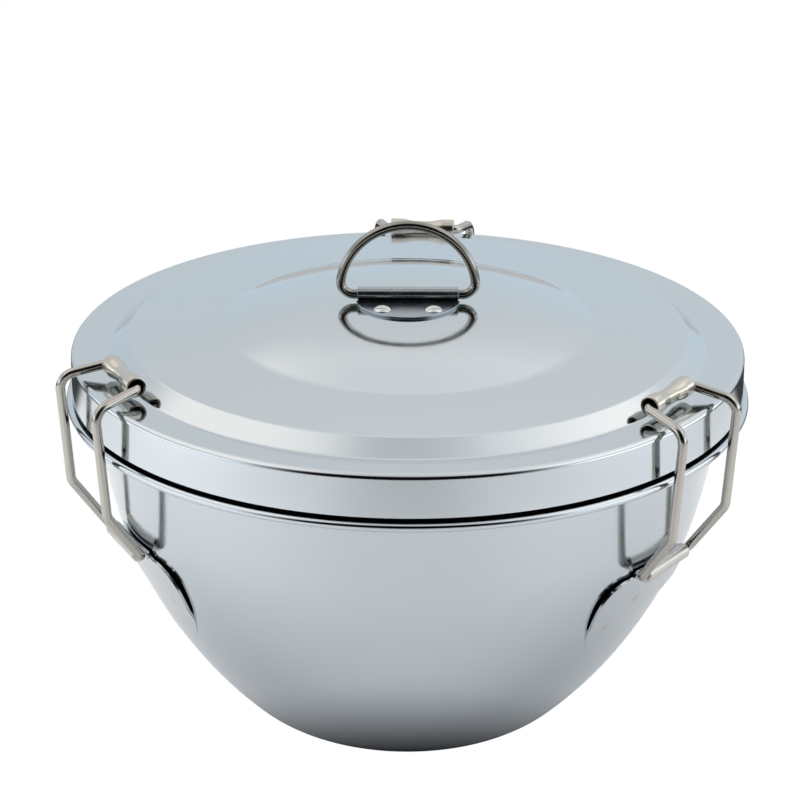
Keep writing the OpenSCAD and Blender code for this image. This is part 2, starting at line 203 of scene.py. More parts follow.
# Stamped and polished: as bright as the wall, so only its border and its welds stand out.
plate_steel = steel_finish("Stainless steel, stamped and polished", "#c9cfd4", haze=0.12, spread=0.03,
                           patch_mm=9, line_mm=0.4, depth_mm=0.0006)
# Stamped and left dull: a grey face that shows light and dark, but no clear shapes.
moon_steel = steel_finish("Stainless steel, stamped and dulled", "#a8afb5", haze=0.24, spread=0.05,
                          patch_mm=6, line_mm=0.4, depth_mm=0.0006)
# Drawn through a die: a warm grey, with one bright streak along each run.
wire_steel = steel_finish("Stainless steel wire, drawn", "#b3b0aa", haze=0.16, spread=0.05,
                          patch_mm=4, line_mm=0.3, depth_mm=0.001)
# The same wire, painted darker to stand for its shade, so that it stands out against the lid.
shaded_ring_steel = steel_finish("Stainless steel wire, drawn, painted darker", "#94918c", haze=0.16, spread=0.05,
                          patch_mm=4, line_mm=0.3, depth_mm=0.001)
# Tube squeezed over the wire: pale and warm, with soft, broad lights.
tube_steel = steel_finish("Stainless steel tube, crimped", "#c4c0b6", haze=0.20, spread=0.05,
                          patch_mm=3, line_mm=0.3, depth_mm=0.0015)
# Heads upset by a hammer: small pale domes with one soft light.
rivet_steel = steel_finish("Steel rivet, upset", "#cfd1d1", haze=0.18, spread=0.05,
                           patch_mm=2, line_mm=0.3, depth_mm=0.001)

# %% [markdown]
# ## Traces of the workshop on the clip brackets
# Each bracket's plate is spot-welded to the bowl, and the heat leaves small straw-coloured marks. Its
# upper edge is rolled round a wire, and the rolling tool rubs that roll dull. Both could be materials
# of their own, but the sheet is one piece, so its own UV map, in millimetres, tells the steel where
# the marks and the roll are.

# %% Weld marks on the plates
# Each spot: millimetres sideways and down the wall from the plate's middle.
WELD_SPOTS = ((-15.0, 7.0), (-5.0, -1.0), (15.0, 4.0))
WELD_EDGE, WELD_CORE = 2.6, 0.4
WELD_TINT, WELD_STRENGTH = "#a58c6e", 0.35


def shader_of(steel):
    """The node that holds a steel's colour and roughness."""
    return next(n for n in steel.node_tree.nodes if n.bl_idname == "ShaderNodeBsdfPrincipled")


def add_weld_marks(steel):
    """Tints the steel round each spot weld."""
    tree = steel.node_tree
    colour = shader_of(steel).inputs["Base Color"]
    place = add_node(tree, "ShaderNodeUVMap", uv_map="plate").outputs["UV"]
    marks = 0.0
    for x, y in WELD_SPOTS:
        away = add_node(tree, "ShaderNodeVectorMath", {0: place, 1: (x, y, 0)}, operation="DISTANCE")
        mark = add_node(tree, "ShaderNodeMapRange", {"Value": away.outputs["Value"],
                                                     "From Min": WELD_EDGE, "From Max": WELD_CORE,
                                                     "To Max": WELD_STRENGTH},
                        interpolation_type="SMOOTHSTEP")
        both = add_node(tree, "ShaderNodeMath", {0: marks, 1: mark.outputs["Result"]},
                        operation="MAXIMUM")
        marks = both.outputs["Value"]
    tinted = add_node(tree, "ShaderNodeMix", {"Factor": marks, "A": colour.default_value,
                                              "B": srgb(WELD_TINT)}, data_type="RGBA")
    tree.links.new(tinted.outputs["Result"], colour)


add_weld_marks(plate_steel)
print("weld marks at", WELD_SPOTS)

# %% The dull roll above the plates
# On the UV map the roll lies at a height of its own, far above the plate, and ROLL_LINE parts them.
ROLL_MARK, ROLL_LINE = -30.0, -27.0
ROLL_TONE, ROLL_HAZE = "#c4c2bd", 0.34


def dull_roll(steel):
    """Gives the roll a warmer and rougher face than the plate below it."""
    tree = steel.node_tree
    shader = shader_of(steel)
    place = add_node(tree, "ShaderNodeUVMap", uv_map="plate")
    height = add_node(tree, "ShaderNodeSeparateXYZ", {"Vector": place.outputs["UV"]})
    rolled = add_node(tree, "ShaderNodeMath", {0: height.outputs["Y"], 1: ROLL_LINE},
                      operation="LESS_THAN")
    rubbed = (("Base Color", "RGBA", srgb(ROLL_TONE)), ("Roughness", "FLOAT", ROLL_HAZE))
    for socket, kind, value in rubbed:
        polished = shader.inputs[socket].links[0].from_socket
        face = add_node(tree, "ShaderNodeMix", {"Factor": rolled.outputs["Value"], "A": polished,
                                                "B": value}, data_type=kind)
        tree.links.new(face.outputs["Result"], shader.inputs[socket])


dull_roll(plate_steel)
print("dull roll", ROLL_TONE)

# %% [markdown]
# ## The bowl
# A press draws the bowl from one disc. Its section runs from the middle of the base, round the belly
# and up the leaning wall to the ledge, round the bead and up the neck that the lid covers. A Screw
# modifier could turn that line. One full spin does the same in the mesh itself, where the seam and the
# pole can be closed at once. A Solidify modifier then gives the sheet its thickness inwards, so that
# the drawn line stays the outer face.

# %% Spin a skin
TURN_STEPS = 240
MERGE_DIST = 1e-4


def spin_round(bm, steps):
    """Spins a drawn section once round Z, closes its seam and pole, and turns its faces outwards."""
    bmesh.ops.spin(bm, geom=bm.verts[:] + bm.edges[:], cent=(0, 0, 0), axis=(0, 0, 1), angle=math.tau,
                   steps=steps, use_merge=True)
    bmesh.ops.remove_doubles(bm, verts=bm.verts[:], dist=MERGE_DIST)
    bmesh.ops.recalc_face_normals(bm, faces=bm.faces[:])


def spin_skin(corners, way):
    """The skin of a sheet from its section; the face at its pole looks up (1) or down (-1)."""
    bm = bmesh.new()
    draw_section(bm, corners)
    spin_round(bm, TURN_STEPS)
    pole = max(bm.faces, key=lambda f: way * f.calc_center_median().z)
    if way * pole.normal.z < 0:
        bmesh.ops.reverse_faces(bm, faces=bm.faces[:])
    return bm


print("a full turn has", TURN_STEPS, "steps")

# %% Sizes of the bowl
# The lid's edge sets the bowl's mouth.
LID_R, RIM_Z, SKIRT_H = 102.5, 121.0, 13.2
RIM_W, RIM_DIP = 11.7, 0.1
WALL_IN, BEAD_OUT, BEAD_H, SKIRT_GAP = 5.5, 1.7, 2.6, 1.2
NECK_GAP, NECK_TOP_GAP = 2.0, 0.35
LEDGE_BEND_R, NECK_BEND_R = 2.0, 0.4
BELLY_R, BASE_BEND_R = 141.7, 34.2
WALL_SLOPE, FOOT_SLOPE = math.radians(77.9), math.radians(44.3)
skirt_bottom_z = RIM_Z - SKIRT_H
bead_top_z = skirt_bottom_z - SKIRT_GAP
ledge_z = bead_top_z - BEAD_H
bead_r = LID_R + BEAD_OUT
wall_top_r = LID_R - WALL_IN
neck_r = LID_R - SHEET_T - NECK_GAP
neck_top_z = RIM_Z - SHEET_T - NECK_TOP_GAP - RIM_DIP * (LID_R - neck_r) / RIM_W
# The wall is a tangent to the belly, and the belly is a tangent to the bend into the base.
belly_rise = BELLY_R * (math.cos(FOOT_SLOPE) - math.cos(WALL_SLOPE))
belly_top_z = BASE_BEND_R * (1 - math.cos(FOOT_SLOPE)) + belly_rise
belly_top_r = wall_top_r - (ledge_z - belly_top_z) / math.tan(WALL_SLOPE)
belly_centre = Vector((belly_top_r - BELLY_R * math.sin(WALL_SLOPE), 0,
                       belly_top_z + BELLY_R * math.cos(WALL_SLOPE)))
base_r = belly_centre.x + (BELLY_R - BASE_BEND_R) * math.sin(FOOT_SLOPE)
print("flat base", round(2 * base_r, 1), "mm across, belly's centre", belly_centre)

# %% Spin the bowl
SHEARED_EDGE_R = 0.2
base_run = BASE_BEND_R * math.tan(FOOT_SLOPE / 2)
slant = base_run + BELLY_R * math.tan((WALL_SLOPE - FOOT_SLOPE) / 2)
bowl_section = [
    (0, 0, 0),
    (base_r + base_run, 0, BASE_BEND_R),
    (base_r + base_run + slant * math.cos(FOOT_SLOPE), slant * math.sin(FOOT_SLOPE), BELLY_R),
    (wall_top_r, ledge_z, LEDGE_BEND_R),
    (bead_r, ledge_z, BEAD_H / 2),
    (bead_r, bead_top_z, BEAD_H / 2),
    (neck_r, bead_top_z, NECK_BEND_R),
    (neck_r, neck_top_z, 0),
]
bm = spin_skin(bowl_section, -1)
bowl = finish_piece(bm, "bowl_shell", "bowl", bowl_steel, ["bowl"])
thicken(bowl, INWARDS, SHEARED_EDGE_R)

# %% [markdown]
# ## The lid
# The lid is pressed in one stroke: a flat top for the handle, a soft dome, a shallow cone, a bright
# step, a flat rim and a short skirt. A subdivided cylinder could be pulled into that shape, but its
# bends would be guesses, so the lid is spun from a section like the bowl. The dome is one wide bend
# with a tighter bend at its foot, because the photograph's reflections change slowly over it and stop
# at a clear edge.

# %% Spin the lid
DOME_H, CONE_H, STEP_W, STEP_H = 13.4, 2.2, 5.8, 4.4
DOME_TOP_R, DOME_FOOT_R = 36.5, 57.0
DOME_FOOT_BEND_R, STEP_BEND_R, RIM_BEND_R = 14.0, 1.5, 1.7
DOME_STRAIGHT = 0.2
lid_top_z = RIM_Z + DOME_H
step_foot = Vector((LID_R - RIM_W, RIM_Z - RIM_DIP))
step_top = step_foot + Vector((-STEP_W, STEP_H))
dome_foot = Vector((DOME_FOOT_R, step_top.y + CONE_H))
dome_side = Vector((DOME_FOOT_R - DOME_TOP_R, lid_top_z - dome_foot.y))
dome_slope = math.atan2(dome_side.y, dome_side.x)
cone_slope = math.atan2(CONE_H, step_top.x - DOME_FOOT_R)
# The dome's convex bend takes up its whole side, down to the bend at its foot.
foot_run = DOME_FOOT_BEND_R * math.tan((dome_slope - cone_slope) / 2)
dome_top_bend_r = (dome_side.length - foot_run - DOME_STRAIGHT) / math.tan(dome_slope / 2)
lid_section = [
    (0, lid_top_z, 0),
    (DOME_TOP_R, lid_top_z, dome_top_bend_r),
    (*dome_foot, DOME_FOOT_BEND_R),
    (*step_top, STEP_BEND_R),
    (*step_foot, STEP_BEND_R),
    (LID_R, RIM_Z, RIM_BEND_R),
    (LID_R, skirt_bottom_z, 0),
]
bm = spin_skin(lid_section, 1)
lid = finish_piece(bm, "lid_pressing", "lid", lid_steel, ["lid"])
thicken(lid, INWARDS, SHEARED_EDGE_R)
print("dome's wide bend", round(dome_top_bend_r, 1), "mm")

# %% [markdown]
# ## Bent wire
# A wire bender feeds a straight length and turns it through a bend, again and again. A curve with a
# bevel could stand for the wire, but its round section can twist or pinch in a tight bend. So the
# bender's two moves are made here: a ring of edges is extruded for each run and spun for each bend, and
# the tube keeps its true round section.

# %% The wire bender
WIRE_R = 1.45
WIRE_SIDES = 28
FEWEST_BEND_STEPS = 6


def feed(bm, ring, run):
    """Extrudes a ring of edges along a straight run, and returns the new ring."""
    fed = bmesh.ops.extrude_edge_only(bm, edges=ring)["geom"]
    ends = {g for g in fed if isinstance(g, bmesh.types.BMVert)}
    bmesh.ops.translate(bm, verts=list(ends), vec=run)
    return [g for g in fed if isinstance(g, bmesh.types.BMEdge) and ends.issuperset(g.verts)]


def turn_ring(bm, ring, centre, axis, turn, steps):
    """Spins a ring of edges through a bend, and returns the new ring."""
    corners = dict.fromkeys(v for e in ring for v in e.verts)
    bent = bmesh.ops.spin(bm, geom=ring + list(corners), cent=centre, axis=axis, angle=turn, steps=steps)
    return [g for g in bent["geom_last"] if isinstance(g, bmesh.types.BMEdge)]


def bend_wire(points, bends):
    """Feeds a round wire through points, with a bend radius at each point between the ends."""
    bm = bmesh.new()
    heading = (points[1] - points[0]).normalized()
    facing = Matrix.Translation(points[0]) @ heading.to_track_quat("Z", "Y").to_matrix().to_4x4()
    bmesh.ops.create_circle(bm, cap_ends=True, segments=WIRE_SIDES, radius=WIRE_R, matrix=facing)
    ring = bm.edges[:]
    here = points[0]
    for before, corner, after, radius in zip(points, points[1:], points[2:], bends[1:]):
        run_in = (corner - before).normalized()
        run_out = (after - corner).normalized()
        turn = run_in.angle(run_out)
        reach = radius * math.tan(turn / 2)
        stop = corner - run_in * reach
        ring = feed(bm, ring, stop - here)
        axis = run_in.cross(run_out).normalized()
        steps = max(FEWEST_BEND_STEPS, arc_steps(radius, turn) // 2)
        ring = turn_ring(bm, ring, stop + axis.cross(run_in) * radius, axis, turn, steps)
        here = corner + run_out * reach
    ring = feed(bm, ring, points[-1] - here)
    bmesh.ops.edgeloop_fill(bm, edges=ring)
    bmesh.ops.recalc_face_normals(bm, faces=bm.faces[:])
    return bm


print("wire of", 2 * WIRE_R, "mm with", WIRE_SIDES, "sides")

# %% [markdown]
# ## The clips
# Each clip is one wire: out of the sleeve's mouth, over the lid's edge, down a cranked leg, through the
# knuckle and up again. The sleeve is a short tube that is pinched over the two wire ends. It could be a
# cylinder with a scaled waist, but then its mouths would have sharp lips, so it is spun from a closed
# section about its own axis. All three clips are drawn on the +X side and turned to their bearings.

# %% Clip wires
CLIP_ANGLES = {"left": 205.0, "right": 325.0, "back": 87.0}
PIVOT_Z, PIVOT_OFF = 72.0, 3.1
SLEEVE_IN, SLEEVE_UP, SLEEVE_L = 10.1, 4.2, 20.5
LEG_W, BAR_W = 30.5, 27.0
LEG_TOP_OUT, LEG_TOP_UP = 4.7, 1.1
LEG_FOOT_OUT, LEG_FOOT_DOWN = 1.9, 33.0
MOUTH_RUN, WIRE_END_GAP = 1.3, 0.6
MOUTH_BEND_R, LEG_BEND_R, HINGE_BEND_R = 2.4, 5.0, 2.5


def belly_slope(z):
    """Slope of the bowl's wall at a height on the belly."""
    return math.acos((belly_centre.z - z) / BELLY_R)


pivot_slope = belly_slope(PIVOT_Z)
pivot_wall_r = belly_centre.x + BELLY_R * math.sin(pivot_slope)
pivot = Vector((pivot_wall_r + PIVOT_OFF / math.sin(pivot_slope), 0, PIVOT_Z))
sleeve_middle = Vector((LID_R - SLEEVE_IN, 0, RIM_Z + SLEEVE_UP))


def place_clip(bm, angle):
    """Turns a clip's piece from the +X side to its bearing."""
    turn = Matrix.Rotation(math.radians(angle), 3, "Z")
    bmesh.ops.rotate(bm, cent=(0, 0, 0), matrix=turn, verts=bm.verts[:])


def clip_path():
    """Corners and bend radii of a clip's wire, from one end in the sleeve to the other."""
    half = [
        (sleeve_middle.x, WIRE_END_GAP, sleeve_middle.z, 0),
        (sleeve_middle.x, SLEEVE_L / 2 + MOUTH_RUN, sleeve_middle.z, MOUTH_BEND_R),
        (LID_R + LEG_TOP_OUT, LEG_W / 2, RIM_Z + LEG_TOP_UP, LEG_BEND_R),
        (LID_R + LEG_FOOT_OUT, LEG_W / 2, RIM_Z - LEG_FOOT_DOWN, LEG_BEND_R),
        (pivot.x, BAR_W / 2, pivot.z, HINGE_BEND_R),
    ]
    there = [(Vector((x, -y, z)), r) for x, y, z, r in half]
    back = [(Vector((x, y, z)), r) for x, y, z, r in reversed(half)]
    return [p for p, _ in there + back], [r for _, r in there + back]


print("clips at", CLIP_ANGLES, "and their hinge at", pivot)

# %% Sleeves
SLEEVE_R, WAIST_R, SLEEVE_T, WAIST_L = 3.15, 2.45, 0.7, 5.0
SLEEVE_BEND_R, LIP_R = 6.0, 0.3
SLEEVE_STEPS = 48
FIT_GAP = 0.06
BORE_R = WIRE_R + FIT_GAP
# The closed section starts and ends on the straight run beside a mouth.
SECTION_START = -8.0


def spin_sleeve():
    """Spins the sleeve's closed section about its own axis, and lays the axis along Y."""
    mouth, waist = SLEEVE_L / 2, WAIST_L / 2
    flare = (mouth + waist) / 2
    bore = SLEEVE_R - SLEEVE_T
    outside = [(SLEEVE_R, -flare), (WAIST_R, -waist), (WAIST_R, waist), (SLEEVE_R, flare)]
    inside = [(bore, flare), (BORE_R, waist), (BORE_R, -waist), (bore, -flare)]
    section = [(SLEEVE_R, SECTION_START, 0)]
    section += [(x, z, SLEEVE_BEND_R) for x, z in outside]
    section += [(SLEEVE_R, mouth, LIP_R), (bore, mouth, LIP_R)]
    section += [(x, z, SLEEVE_BEND_R) for x, z in inside]
    section += [(bore, -mouth, LIP_R), (SLEEVE_R, -mouth, LIP_R), section[0]]
    bm = bmesh.new()
    draw_section(bm, section)
    bmesh.ops.remove_doubles(bm, verts=bm.verts[:], dist=MERGE_DIST)
    spin_round(bm, SLEEVE_STEPS)
    lay = Matrix.Rotation(math.pi / 2, 3, "X")
    bmesh.ops.rotate(bm, cent=(0, 0, 0), matrix=lay, verts=bm.verts[:])
    bmesh.ops.translate(bm, verts=bm.verts[:], vec=sleeve_middle)
    return bm


for side, angle in CLIP_ANGLES.items():
    bm = bend_wire(*clip_path())
    place_clip(bm, angle)
    finish_piece(bm, f"clip_wire_{side}_bent", f"clip_{side}", wire_steel,
                 [f"clip_wire_{side}"])
    bm = spin_sleeve()
    place_clip(bm, angle)
    finish_piece(bm, f"clip_sleeve_{side}_crimped", f"clip_{side}", tube_steel,
                 [f"clip_sleeve_{side}"])

# %% [markdown]
# ## The clip brackets
# A bracket is a stamped plate, welded to the wall, whose upper strip is rolled round the clip's wire. A
# flat disc could be wrapped on to the bowl with a Shrinkwrap, but then it would follow the wall all
# over. The real plate is flatter than the wall, so its sides stand off above the welded foot and leave
# a dark line. So the plate starts as the belly's arc, spun a little way round and then eased off the
# wall, and planes trim it to its outline, as a die would. The strip has a hollow corner at each side,
# and runs into a roll that is drawn with the pen and extruded sideways.

# %% Places on the plate
PLATE_R, PLATE_TOP, PLATE_CORNER_R, PLATE_Z = 23.5, 11.0, 9.5, 60.0
WELD_GAP = 0.05
plate_lift = WELD_GAP + SHEET_T / 2
plate_slope = belly_slope(PLATE_Z)
plate_radius = BELLY_R + plate_lift
plate_out = Vector((math.sin(plate_slope), 0, -math.cos(plate_slope)))
plate_middle = belly_centre + plate_radius * plate_out
down_wall = Vector((-math.cos(plate_slope), 0, -math.sin(plate_slope)))


def on_plate(x, y):
    """The direction of (down the wall, sideways) on the plate."""
    return down_wall * x + Vector((0, y, 0))


def below_middle(point):
    """How far a point lies down the wall from the plate's middle."""
    return (point - plate_middle).dot(down_wall)


print("plate's middle", plate_middle, "slope", round(math.degrees(plate_slope), 1))

# %% A patch of the belly
PATCH_HALF_ARC, PATCH_HALF_TURN = math.radians(11.5), math.radians(18)
PATCH_ROWS, PATCH_COLUMNS = 48, 56
# Down the wall from the plate's middle, the neck bends out to the roll until NECK_BEND, the foot sinks
# on to the wall from SINK_START on, and the gap under the sides fades out above GAP_END.
PLATE_SIDE_GAP, GAP_END, GAP_FADE_L = 1.0, 11.0, 7.0
FOOT_SINK, SINK_START, SINK_L = 0.7, -10.0, 24.0
NECK_BEND, NECK_RISE = -6.7, 0.06


def ease(t):
    """A soft step from 0 to 1."""
    t = min(max(t, 0), 1)
    return t * t * (3 - 2 * t)


def belly_patch():
    """A patch of the bowl's belly, with sides that stand off and a foot pressed in by the welds."""
    bm = bmesh.new()
    first = plate_slope - PATCH_HALF_ARC
    start = bm.verts.new(belly_centre + plate_radius * Vector((math.sin(first), 0, -math.cos(first))))
    bmesh.ops.spin(bm, geom=[start], cent=belly_centre, axis=(0, -1, 0), angle=2 * PATCH_HALF_ARC,
                   steps=PATCH_ROWS)
    to_side = Matrix.Rotation(-PATCH_HALF_TURN, 3, "Z")
    bmesh.ops.rotate(bm, cent=(0, 0, 0), matrix=to_side, verts=bm.verts[:])
    bmesh.ops.spin(bm, geom=bm.verts[:] + bm.edges[:], cent=(0, 0, 0), axis=(0, 0, 1),
                   angle=2 * PATCH_HALF_TURN, steps=PATCH_COLUMNS)
    for v in bm.verts:
        across = Vector((v.co.x, v.co.y, 0)).normalized() * belly_centre.x
        outward = (v.co - across - Vector((0, 0, belly_centre.z))).normalized()
        below = below_middle(v.co)
        side_gap = PLATE_SIDE_GAP * (v.co.y / PLATE_R) ** 2 * ease((GAP_END - below) / GAP_FADE_L)
        sink = FOOT_SINK * ease((below - SINK_START) / SINK_L)
        v.co += outward * (side_gap + NECK_RISE * max(NECK_BEND - below, 0) - sink)
    return bm


print("patch of", PATCH_ROWS, "by", PATCH_COLUMNS, "faces")

# %% Trim the patch
DISC_CUTS, CORNER_CUTS, HOLLOW_CUTS = 40, 12, 8
HOLLOW_R = 2.2
KNUCKLE_W = 21.6


def cut_patch(bm, faces, point, normal, clear):
    """Cuts some of a patch's faces along a line on the plate, and clears what lies outside it."""
    geom = dict.fromkeys(g for f in faces for g in (f, *f.edges, *f.verts))
    bmesh.ops.bisect_plane(bm, geom=list(geom), dist=MERGE_DIST, clear_outer=clear,
                           plane_co=plate_middle + on_plate(*point), plane_no=on_plate(*normal))


def trim_plate(bm):
    """Trims a patch to a disc with a straight upper edge and two round corners."""
    corner = Vector((PLATE_CORNER_R - PLATE_TOP, 0))
    corner.y = math.sqrt((PLATE_R - PLATE_CORNER_R) ** 2 - corner.x ** 2)
    meet = math.atan2(corner.y, corner.x)
    cut_patch(bm, bm.faces, (-PLATE_TOP, 0), (-1, 0), True)
    for step in range(DISC_CUTS + 1):
        a = meet * (2 * step / DISC_CUTS - 1)
        n = Vector((math.cos(a), math.sin(a)))
        cut_patch(bm, bm.faces, n * PLATE_R, n, True)
    for hand in (-1, 1):
        for step in range(1, CORNER_CUTS):
            a = meet + (math.pi - meet) * step / CORNER_CUTS
            n = Vector((math.cos(a), hand * math.sin(a)))
            cut_patch(bm, bm.faces, Vector((corner.x, hand * corner.y)) + n * PLATE_CORNER_R, n, True)


def trim_neck(bm):
    """Trims a patch to the short neck above the plate, in rows that make a hollow corner at each side."""
    arc = []
    for step in range(HOLLOW_CUTS + 1):
        a = math.pi / 2 * step / HOLLOW_CUTS
        arc.append(Vector((-PLATE_TOP - HOLLOW_R * (1 - math.sin(a)),
                           KNUCKLE_W / 2 + HOLLOW_R * (1 - math.cos(a)))))
        cut_patch(bm, bm.faces, arc[-1], (1, 0), False)
    kept = set()
    for upper, lower in zip(arc, arc[1:]):
        slant = lower - upper
        for hand in (-1, 1):
            row = [f for f in bm.faces if upper.x < below_middle(f.calc_center_median()) < lower.x]
            cut_patch(bm, row, (upper.x, hand * upper.y), (-slant.y, hand * slant.x), False)
        for f in bm.faces:
            middle = f.calc_center_median()
            x, y = below_middle(middle), abs(middle.y)
            if upper.x < x < lower.x and (x - upper.x) * -slant.y + (y - upper.y) * slant.x < 0:
                kept.add(f)
    bmesh.ops.delete(bm, geom=[f for f in bm.faces if f not in kept], context="FACES")


print("outline of", DISC_CUTS + 1, "cuts round the disc, hollow corners of", HOLLOW_R, "mm")

# %% Stamp the plate
NECK_MERGE_DIST = 0.02


def stamp_plate():
    """The plate with its neck, and its own UV map in millimetres from the plate's middle."""
    bm = belly_patch()
    trim_neck(bm)
    neck = bpy.data.meshes.new("neck")
    bm.to_mesh(neck)
    bm.free()
    bm = belly_patch()
    trim_plate(bm)
    bm.from_mesh(neck)
    bpy.data.meshes.remove(neck)
    bmesh.ops.remove_doubles(bm, verts=bm.verts[:], dist=NECK_MERGE_DIST)
    layer = bm.loops.layers.uv.new("plate")
    for loop in (loop for f in bm.faces for loop in f.loops):
        loop[layer].uv = (loop.vert.co.y, below_middle(loop.vert.co))
    print("stamped a plate of", len(bm.faces), "faces")
    return bm


# %% Roll a knuckle
ROLL_R = BORE_R + SHEET_T / 2
ROLL_TURN = math.radians(280)
ROLL_STEPS = 48


def roll_knuckle(bm, width, strip_l, to_place):
    """Adds a strip that runs into a roll: drawn in the XZ plane, extruded along Y, then put in place."""
    old = set(bm.verts)
    start = bm.verts.new((-strip_l, -width / 2, -ROLL_R))
    pen = bmesh.ops.extrude_vert_indiv(bm, verts=[start])["verts"][0]
    pen.co = (0, -width / 2, -ROLL_R)
    bmesh.ops.spin(bm, geom=[pen], cent=(0, -width / 2, 0), axis=(0, -1, 0), angle=ROLL_TURN,
                   steps=ROLL_STEPS)
    edges = [e for e in bm.edges if old.isdisjoint(e.verts)]
    made = bmesh.ops.extrude_edge_only(bm, edges=edges)["geom"]
    far_side = [g for g in made if isinstance(g, bmesh.types.BMVert)]
    bmesh.ops.translate(bm, verts=far_side, vec=(0, width, 0))
    bmesh.ops.transform(bm, matrix=to_place, verts=[v for v in bm.verts if v not in old])
    print("rolled a knuckle", width, "mm long")


def knuckle_place(hinge, along, across, out):
    """Where a roll goes: its hinge line's middle, and where its own X, Y and Z axes point."""
    return Matrix.Translation(hinge) @ Matrix((along, across, out)).transposed().to_4x4()


# %% Make the brackets
# The lower part of the strip lies within the plate's sheet, so only its upper part is drawn.
STRIP_L, STRIP_DRAWN_L = 6.0, 3.0
STAMPED_EDGE_R = 0.15
# A point within this distance of the hinge line is on the roll.
ROLL_REACH = ROLL_R + 0.1
strip_tilt = math.asin((PIVOT_OFF - BORE_R - SHEET_T / 2 - plate_lift) / STRIP_L)
strip_angle = pivot_slope - strip_tilt
# The roll's X runs up the wall and its -Z lies towards the wall.
up = Vector((math.cos(strip_angle), 0, math.sin(strip_angle)))
out = Vector((math.sin(strip_angle), 0, -math.cos(strip_angle)))
for side, angle in CLIP_ANGLES.items():
    bm = stamp_plate()
    plate_faces = set(bm.faces)
    roll_knuckle(bm, KNUCKLE_W, STRIP_DRAWN_L, knuckle_place(pivot, up, (0, 1, 0), out))
    layer = bm.loops.layers.uv["plate"]
    for loop in (loop for f in bm.faces if f not in plate_faces for loop in f.loops):
        x, y, z = loop.vert.co
        on_roll = math.hypot(x - pivot.x, z - pivot.z) < ROLL_REACH
        loop[layer].uv = (y, ROLL_MARK if on_roll else -PLATE_TOP)
    bmesh.ops.recalc_face_normals(bm, faces=bm.faces[:])
    place_clip(bm, angle)
    bracket = finish_piece(bm, f"clip_bracket_{side}_stamped", "bowl", plate_steel,
                           [f"clip_bracket_{side}"])
    thicken(bracket, BOTH_WAYS, STAMPED_EDGE_R)

# %% [markdown]
# ## The handle's bracket
# A half-moon plate is riveted to the lid, with its straight edge rolled round the ring's bar. It could
# be cut from a cylinder with a Boolean, but one plane halves a disc without leaving stray faces, and
# the roll is the same one that the clip brackets have.

# %% Half-moon bracket
HALF_MOON_R, HALF_MOON_SIDES = 15.8, 96
HANDLE_KNUCKLE_W, HANDLE_STRIP_L = 30.6, 1.5
SEAM_MERGE_DIST = 0.01
handle_z = lid_top_z + BORE_R + SHEET_T
bm = bmesh.new()
on_lid = Matrix.Translation((0, 0, lid_top_z + SHEET_T / 2))
bmesh.ops.create_circle(bm, cap_ends=True, segments=HALF_MOON_SIDES, radius=HALF_MOON_R, matrix=on_lid)
bmesh.ops.bisect_plane(bm, geom=bm.verts[:] + bm.edges[:] + bm.faces[:], dist=MERGE_DIST,
                       plane_co=(0, -HANDLE_STRIP_L, 0), plane_no=(0, 1, 0), clear_outer=True)
roll_knuckle(bm, HANDLE_KNUCKLE_W, HANDLE_STRIP_L,
             knuckle_place((0, 0, handle_z), (0, 1, 0), (-1, 0, 0), (0, 0, 1)))
bmesh.ops.remove_doubles(bm, verts=bm.verts[:], dist=SEAM_MERGE_DIST)
bmesh.ops.recalc_face_normals(bm, faces=bm.faces[:])
half_moon = finish_piece(bm, "handle_bracket_half_moon", "lid", moon_steel,
                         ["handle_bracket"])
thicken(half_moon, BOTH_WAYS, STAMPED_EDGE_R)

# %% [markdown]
# ## The rivets
# Two rivets hold the half-moon: a low dome above, a shank through both sheets and a flat tail inside
# the lid. A squashed sphere would do for the dome, but its edge would stand too steep on the plate. So
# a dome of the right height and width is one short arc, and the whole rivet is spun with its shank.

# %% Rivets
RIVET_X, RIVET_Y = 7.75, 9.0
HEAD_R, HEAD_H, SHANK_R = 3.0, 1.2, 1.5
TAIL_R, TAIL_H, TAIL_CROWN_R, TAIL_SIDE_H = 2.3, 0.8, 1.4, 0.6
DOME_STEPS, RIVET_STEPS = 12, 48
head_top_z = SHEET_T + HEAD_H
dome_r = (HEAD_R ** 2 + HEAD_H ** 2) / (2 * HEAD_H)
shank_and_tail = ((SHANK_R, SHEET_T), (SHANK_R, -SHEET_T), (TAIL_R, -SHEET_T),
                  (TAIL_CROWN_R, -SHEET_T - TAIL_SIDE_H), (0, -SHEET_T - TAIL_H))
bm = bmesh.new()
crown = bm.verts.new((0, 0, head_top_z))
bmesh.ops.spin(bm, geom=[crown], cent=(0, 0, head_top_z - dome_r), axis=(0, 1, 0),
               angle=math.asin(HEAD_R / dome_r), steps=DOME_STEPS)
pen = max(bm.verts, key=lambda v: v.co.x)
for x, z in shank_and_tail:
    pen = bmesh.ops.extrude_vert_indiv(bm, verts=[pen])["verts"][0]
    pen.co = (x, 0, z)
spin_round(bm, RIVET_STEPS)
bmesh.ops.translate(bm, verts=bm.verts[:], vec=(-RIVET_X, -RIVET_Y, lid_top_z))
twin = bmesh.ops.duplicate(bm, geom=bm.verts[:] + bm.edges[:] + bm.faces[:])["geom"]
twin_verts = [g for g in twin if isinstance(g, bmesh.types.BMVert)]
bmesh.ops.translate(bm, verts=twin_verts, vec=(2 * RIVET_X, 0, 0))
finish_piece(bm, "handle_rivets_domed", "lid", rivet_steel, ["handle_rivets"])

# %% [markdown]
# ## The ring
# The ring is the same wire as the clips, bent into a D whose bar turns in the half-moon's roll. A torus
# could be cut and closed with a bar, but its corners would be sharp. So the wire bender goes once round
# from the middle of the bar: run, corner, arch, corner, run. The two ends are then merged.

